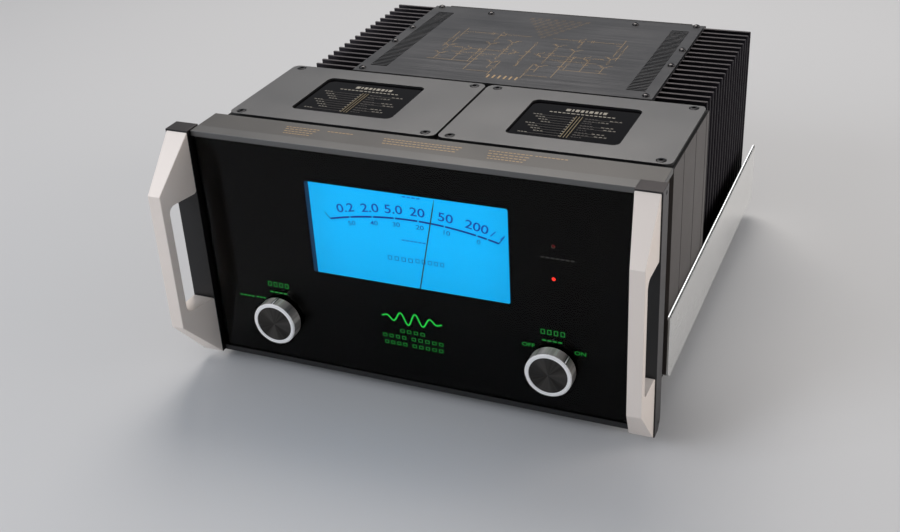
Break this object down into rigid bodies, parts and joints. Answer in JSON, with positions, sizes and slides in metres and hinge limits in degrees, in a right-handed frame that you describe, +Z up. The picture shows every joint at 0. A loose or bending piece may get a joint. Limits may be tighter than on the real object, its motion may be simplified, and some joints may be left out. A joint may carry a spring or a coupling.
{
  "type": "power amplifier",
  "caption": "Mono power amplifier: black glass front, blue lit power meter, two knobs, silver handles, covered transformers and black heat sinks.",
  "frame": {"origin": "centre of the overall width and depth, on the surface that the feet stand on", "axes": "+X to the right of the front as seen from in front, +Y from the front glass to the rear panel, +Z up"},
  "size_m": [0.4444, 0.5246, 0.24],
  "materials": {
    "satin_silver": "satin",
    "dark_anodised": "satin anodised",
    "rail_metal": "satin",
    "front_glass": "polished",
    "glass_print": "black print",
    "meter_housing": "matte",
    "meter_dial": "lit from behind",
    "pointer_ink": "matte",
    "magnet": "satin",
    "circuit_board": "lacquered",
    "lamp_lens": "clear red",
    "knob_metal": "spun and brushed",
    "switch_body": "moulded",
    "black_sheet": "satin black",
    "deck_paint": "satin grey",
    "polished_steel": "polished stainless",
    "foot_rubber": "matte",
    "case_paint": "satin grey",
    "cover_paint": "satin grey",
    "label_glass": "polished black",
    "screw_black": "black oxide",
    "core_varnish": "varnished laminations",
    "sink_black": "black anodised",
    "can_sleeve": "shrunk sleeve",
    "gold_plate": "gold plated",
    "terminal_plastic": "moulded",
    "nut_red": "moulded",
    "nickel": "nickel plated"
  },
  "bodies": {
    "amplifier": {"left_end_block": "dark_anodised", "right_end_block": "dark_anodised", "left_handle": "satin_silver", "right_handle": "satin_silver", "top_rail": "rail_metal", "bottom_rail": "rail_metal", "front_glass": "front_glass", "glass_mask": "glass_print", "meter_housing": "meter_housing", "meter_dial": "meter_dial", "meter_movement": "magnet", "lamp_board": "circuit_board", "upper_lamp": "lamp_lens", "lower_lamp": "lamp_lens", "meter_switch": "switch_body", "power_switch": "switch_body", "front_subpanel": "black_sheet", "rear_panel": "black_sheet", "front_deck": "deck_paint", "chassis_tray": "polished_steel", "front_left_foot": "foot_rubber", "front_right_foot": "foot_rubber", "back_left_foot": "foot_rubber", "back_right_foot": "foot_rubber", "left_transformer_case": "case_paint", "right_transformer_case": "case_paint", "left_transformer_cover": "cover_paint", "right_transformer_cover": "cover_paint", "top_cover": "cover_paint", "left_label": "label_glass", "right_label": "label_glass", "left_cover_screw_1": "screw_black", "left_cover_screw_2": "screw_black", "left_cover_screw_3": "screw_black", "left_cover_screw_4": "screw_black", "right_cover_screw_1": "screw_black", "right_cover_screw_2": "screw_black", "right_cover_screw_3": "screw_black", "right_cover_screw_4": "screw_black", "output_autoformer": "core_varnish", "power_transformer": "core_varnish", "left_heat_sink": "sink_black", "right_heat_sink": "sink_black", "left_capacitor": "can_sleeve", "right_capacitor": "can_sleeve", "terminal_plate": "terminal_plastic", "balanced_input": "terminal_plastic", "mains_inlet": "terminal_plastic", "fuse_holder": "terminal_plastic", "positive_stud": "gold_plate", "negative_stud": "gold_plate", "unbalanced_input": "gold_plate"},
    "meter_knob": {"meter_knob": "knob_metal"},
    "power_knob": {"power_knob": "knob_metal"},
    "pointer": {"meter_pointer": "pointer_ink"},
    "positive_nut": {"positive_nut": "nut_red"},
    "negative_nut": {"negative_nut": "terminal_plastic"},
    "latch": {"balanced_latch": "nickel"},
    "fuse_cap": {"fuse_cap": "terminal_plastic"}
  },
  "joints": [
    {"name": "meter_knob_turn", "type": "hinge", "parent": "amplifier", "child": "meter_knob", "pos_m": [-0.1319, -0.22305, 0.0609], "axis": [0, 1, 0], "range_deg": [-45, 45]},
    {"name": "power_knob_turn", "type": "hinge", "parent": "amplifier", "child": "power_knob", "pos_m": [0.1319, -0.22305, 0.0609], "axis": [0, 1, 0], "range_deg": [-90, 0]},
    {"name": "pointer_swing", "type": "hinge", "parent": "amplifier", "child": "pointer", "pos_m": [0, -0.20635, 0.0708], "axis": [0, 1, 0], "range_deg": [-49.5, 29.2], "stiffness_Nm_per_rad": 0.004},
    {"name": "positive_nut_turn", "type": "hinge", "parent": "amplifier", "child": "positive_nut", "pos_m": [-0.102, 0.24445, 0.132], "axis": [0, 1, 0], "range_deg": [0, 1440]},
    {"name": "negative_nut_turn", "type": "hinge", "parent": "amplifier", "child": "negative_nut", "pos_m": [-0.07, 0.24445, 0.132], "axis": [0, 1, 0], "range_deg": [0, 1440]},
    {"name": "latch_press", "type": "slide", "parent": "amplifier", "child": "latch", "axis": [0, 0, -1], "range_m": [0, 0.0018], "stiffness_N_per_m": 400},
    {"name": "fuse_cap_turn", "type": "hinge", "parent": "amplifier", "child": "fuse_cap", "pos_m": [0.03, 0.23445, 0.108], "axis": [0, 1, 0], "range_deg": [0, 60]}
  ]
}
